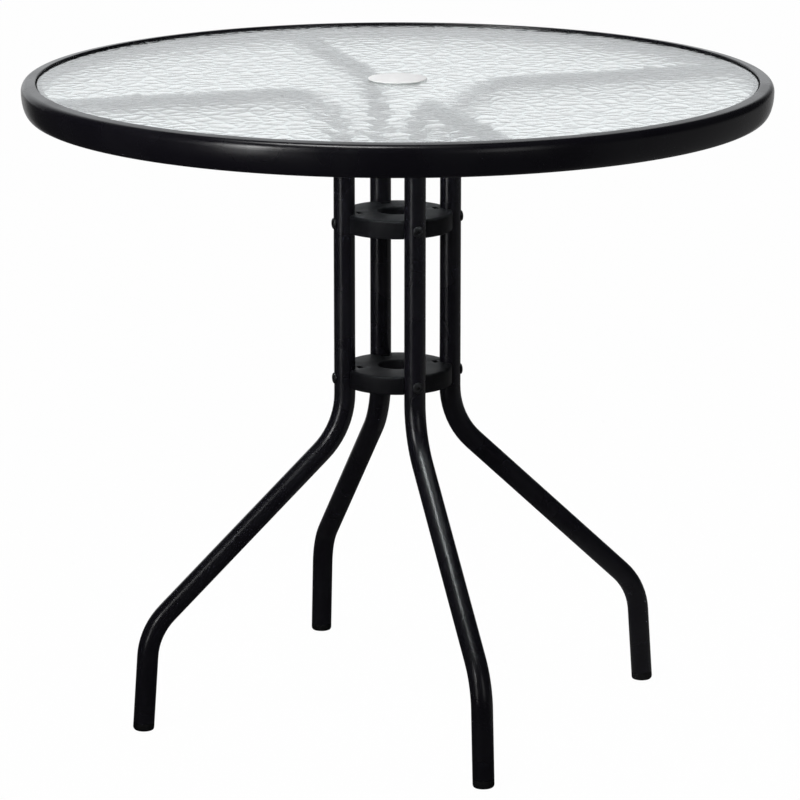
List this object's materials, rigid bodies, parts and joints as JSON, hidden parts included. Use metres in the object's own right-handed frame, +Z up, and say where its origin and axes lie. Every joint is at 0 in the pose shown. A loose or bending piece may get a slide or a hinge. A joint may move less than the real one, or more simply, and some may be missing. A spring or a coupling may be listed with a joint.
{
  "type": "umbrella table",
  "caption": "Round patio table with a rippled glass top in a black steel rim, an umbrella hole with a lift-out plug, and bent tube legs bundled by round hubs.",
  "frame": {"origin": "on the floor, on the axis of the table, midway between the feet", "axes": "+Z up along the axis of the top; the front leg points to -Y and the right leg to +X"},
  "size_m": [0.8, 0.8, 0.7024],
  "materials": {
    "black_coat": "satin powder coat",
    "rippled_glass": "clear tempered glass with a pebbled ripple",
    "black_plastic": "matte moulded",
    "black_rubber": "matte",
    "pale_plastic": "smooth translucent white",
    "clear_vinyl": "soft clear vinyl",
    "blackened_steel": "black coated fasteners"
  },
  "bodies": {
    "table": {"arm_bolt_back": "blackened_steel", "arm_bolt_front": "blackened_steel", "arm_bolt_left": "blackened_steel", "arm_bolt_right": "blackened_steel", "arm_nut_back": "blackened_steel", "arm_nut_front": "blackened_steel", "arm_nut_left": "blackened_steel", "arm_nut_right": "blackened_steel", "arm_pad_back": "clear_vinyl", "arm_pad_front": "clear_vinyl", "arm_pad_left": "clear_vinyl", "arm_pad_right": "clear_vinyl", "foot_plug_back": "black_plastic", "foot_plug_front": "black_plastic", "foot_plug_left": "black_plastic", "foot_plug_right": "black_plastic", "glass_top": "rippled_glass", "leg_back": "black_coat", "leg_front": "black_coat", "leg_left": "black_coat", "leg_right": "black_coat", "lower_hub": "black_plastic", "lower_hub_bolt_back": "blackened_steel", "lower_hub_bolt_front": "blackened_steel", "lower_hub_bolt_left": "blackened_steel", "lower_hub_bolt_right": "blackened_steel", "lower_hub_nut_back": "blackened_steel", "lower_hub_nut_front": "blackened_steel", "lower_hub_nut_left": "blackened_steel", "lower_hub_nut_right": "blackened_steel", "rim": "black_coat", "rim_bracket_back": "black_coat", "rim_bracket_front": "black_coat", "rim_bracket_left": "black_coat", "rim_bracket_right": "black_coat", "rim_gasket": "black_rubber", "upper_hub": "black_plastic", "upper_hub_bolt_back": "blackened_steel", "upper_hub_bolt_front": "blackened_steel", "upper_hub_bolt_left": "blackened_steel", "upper_hub_bolt_right": "blackened_steel", "upper_hub_nut_back": "blackened_steel", "upper_hub_nut_front": "blackened_steel", "upper_hub_nut_left": "blackened_steel", "upper_hub_nut_right": "blackened_steel"},
    "cap": {"hole_cap": "pale_plastic"}
  },
  "joints": [
    {"name": "cap_lift", "type": "slide", "parent": "table", "child": "cap", "axis": [0, 0, 1], "range_m": [0, 0.06]}
  ]
}
